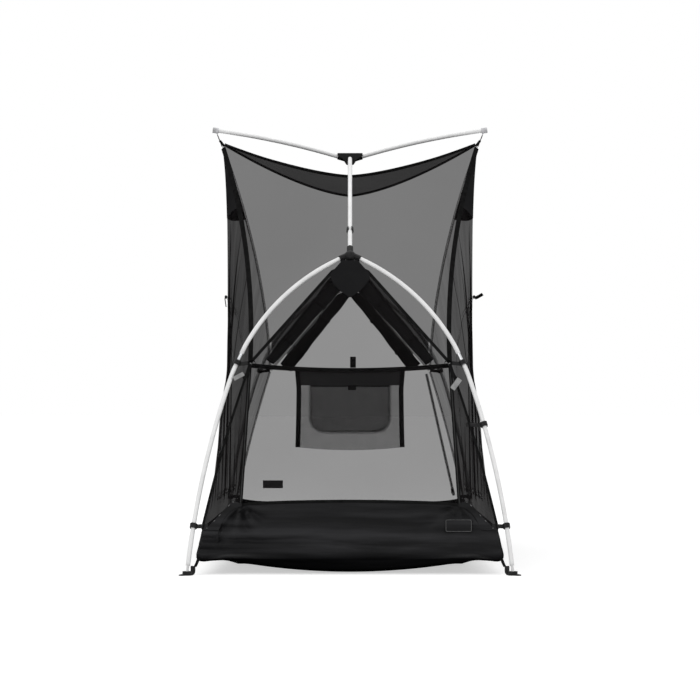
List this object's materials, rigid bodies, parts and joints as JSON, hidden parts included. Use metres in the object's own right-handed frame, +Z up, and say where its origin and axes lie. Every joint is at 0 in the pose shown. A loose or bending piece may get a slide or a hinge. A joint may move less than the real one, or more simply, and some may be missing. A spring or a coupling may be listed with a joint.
{
  "type": "mesh tent",
  "caption": "One-person mesh tent with a tub floor, hung in a frame of white poles with black hubs; side doors open, the gear pocket swings, zips run, foot clips swivel",
  "frame": {"origin": "on the ground under the middle of the tent", "axes": "+Z up, -Y towards the front end, +X to the right as seen from the front; length along Y"},
  "size_m": [0.8196, 2.0896, 1.181],
  "materials": {
    "pole_white": "satin white coating on aluminium tube",
    "ferrule_alloy": "bare drawn alloy",
    "moulded_black": "moulded nylon, matt",
    "mesh_black": "fine see-through insect mesh",
    "roof_mesh": "denser mesh of the roof",
    "pocket_mesh": "bound mesh",
    "flap_cloth": "rolled opaque cloth",
    "tub_cloth": "coated ripstop cloth",
    "webbing_black": "woven tape",
    "zip_metal": "black lacquered slider"
  },
  "bodies": {
    "tent": {"front_hub": "moulded_black", "ridge_pole_front": "pole_white", "ridge_clip_front": "moulded_black", "upper_panel_front": "mesh_black", "end_wall_front": "mesh_black", "upper_pole_front_left": "pole_white", "lower_pole_front_left": "pole_white", "ferrule_front_left": "ferrule_alloy", "flap_roll_front_left": "flap_cloth", "corner_strap_front_left": "webbing_black", "knot_clip_front_left": "moulded_black", "low_clip_front_left": "moulded_black", "upper_pole_front_right": "pole_white", "lower_pole_front_right": "pole_white", "ferrule_front_right": "ferrule_alloy", "flap_roll_front_right": "flap_cloth", "corner_strap_front_right": "webbing_black", "knot_clip_front_right": "moulded_black", "low_clip_front_right": "moulded_black", "rear_hub": "moulded_black", "ridge_pole_rear": "pole_white", "ridge_clip_rear": "moulded_black", "upper_panel_rear": "mesh_black", "end_wall_rear": "mesh_black", "upper_pole_rear_left": "pole_white", "lower_pole_rear_left": "pole_white", "ferrule_rear_left": "ferrule_alloy", "flap_roll_rear_left": "flap_cloth", "corner_strap_rear_left": "webbing_black", "knot_clip_rear_left": "moulded_black", "low_clip_rear_left": "moulded_black", "upper_pole_rear_right": "pole_white", "lower_pole_rear_right": "pole_white", "ferrule_rear_right": "ferrule_alloy", "flap_roll_rear_right": "flap_cloth", "corner_strap_rear_right": "webbing_black", "knot_clip_rear_right": "moulded_black", "low_clip_rear_right": "moulded_black", "mid_clip_front_right": "moulded_black", "crown_connector": "moulded_black", "crown_hook": "moulded_black", "wing_pole_left": "pole_white", "corner_tie_left": "moulded_black", "side_wall_left": "mesh_black", "wing_pole_right": "pole_white", "corner_tie_right": "moulded_black", "side_wall_right": "mesh_black", "roof_panel": "roof_mesh", "tub_floor": "tub_cloth", "cross_strap": "webbing_black"},
    "side_door_left": {"side_door_left": "mesh_black"},
    "zip_slider_left": {"zip_slider_left": "zip_metal"},
    "side_door_right": {"side_door_right": "mesh_black"},
    "zip_slider_right": {"zip_slider_right": "zip_metal"},
    "foot_clip_front_left": {"foot_clip_front_left": "moulded_black"},
    "foot_clip_front_right": {"foot_clip_front_right": "moulded_black"},
    "foot_clip_rear_left": {"foot_clip_rear_left": "moulded_black"},
    "foot_clip_rear_right": {"foot_clip_rear_right": "moulded_black"},
    "gear_pocket": {"gear_pocket": "pocket_mesh"},
    "zip_slider_rear": {"zip_slider_rear": "zip_metal"}
  },
  "joints": [
    {"name": "side_door_right_swing", "type": "hinge", "parent": "tent", "child": "side_door_right", "pos_m": [0.34052, 0.45, 0.165], "axis": [-0.0677, 0, 0.9977], "range_deg": [0, 95]},
    {"name": "side_door_left_swing", "type": "hinge", "parent": "tent", "child": "side_door_left", "pos_m": [-0.34052, 0.45, 0.165], "axis": [-0.0677, 0, -0.9977], "range_deg": [0, 95]},
    {"name": "gear_pocket_swing", "type": "hinge", "parent": "tent", "child": "gear_pocket", "pos_m": [0, -0.82865, 0.499], "axis": [1, 0, 0], "range_deg": [-12, 60]},
    {"name": "zip_slider_left_run", "type": "slide", "parent": "tent", "child": "zip_slider_left", "axis": [0, 1, 0], "range_m": [-0.08, 0.08]},
    {"name": "zip_slider_right_run", "type": "slide", "parent": "tent", "child": "zip_slider_right", "axis": [0, 1, 0], "range_m": [-0.08, 0.08]},
    {"name": "zip_slider_rear_run", "type": "slide", "parent": "tent", "child": "zip_slider_rear", "axis": [-0.2164, -0.3577, 0.9084], "range_m": [0, 0.36]},
    {"name": "foot_clip_front_left_swivel", "type": "hinge", "parent": "tent", "child": "foot_clip_front_left", "pos_m": [-0.39, -1.025, 0], "axis": [0, 0, 1], "range_deg": [-25, 25]},
    {"name": "foot_clip_front_right_swivel", "type": "hinge", "parent": "tent", "child": "foot_clip_front_right", "pos_m": [0.39, -1.025, 0], "axis": [0, 0, 1], "range_deg": [-25, 25]},
    {"name": "foot_clip_rear_left_swivel", "type": "hinge", "parent": "tent", "child": "foot_clip_rear_left", "pos_m": [-0.39, 1.025, 0], "axis": [0, 0, 1], "range_deg": [-25, 25]},
    {"name": "foot_clip_rear_right_swivel", "type": "hinge", "parent": "tent", "child": "foot_clip_rear_right", "pos_m": [0.39, 1.025, 0], "axis": [0, 0, 1], "range_deg": [-25, 25]}
  ]
}
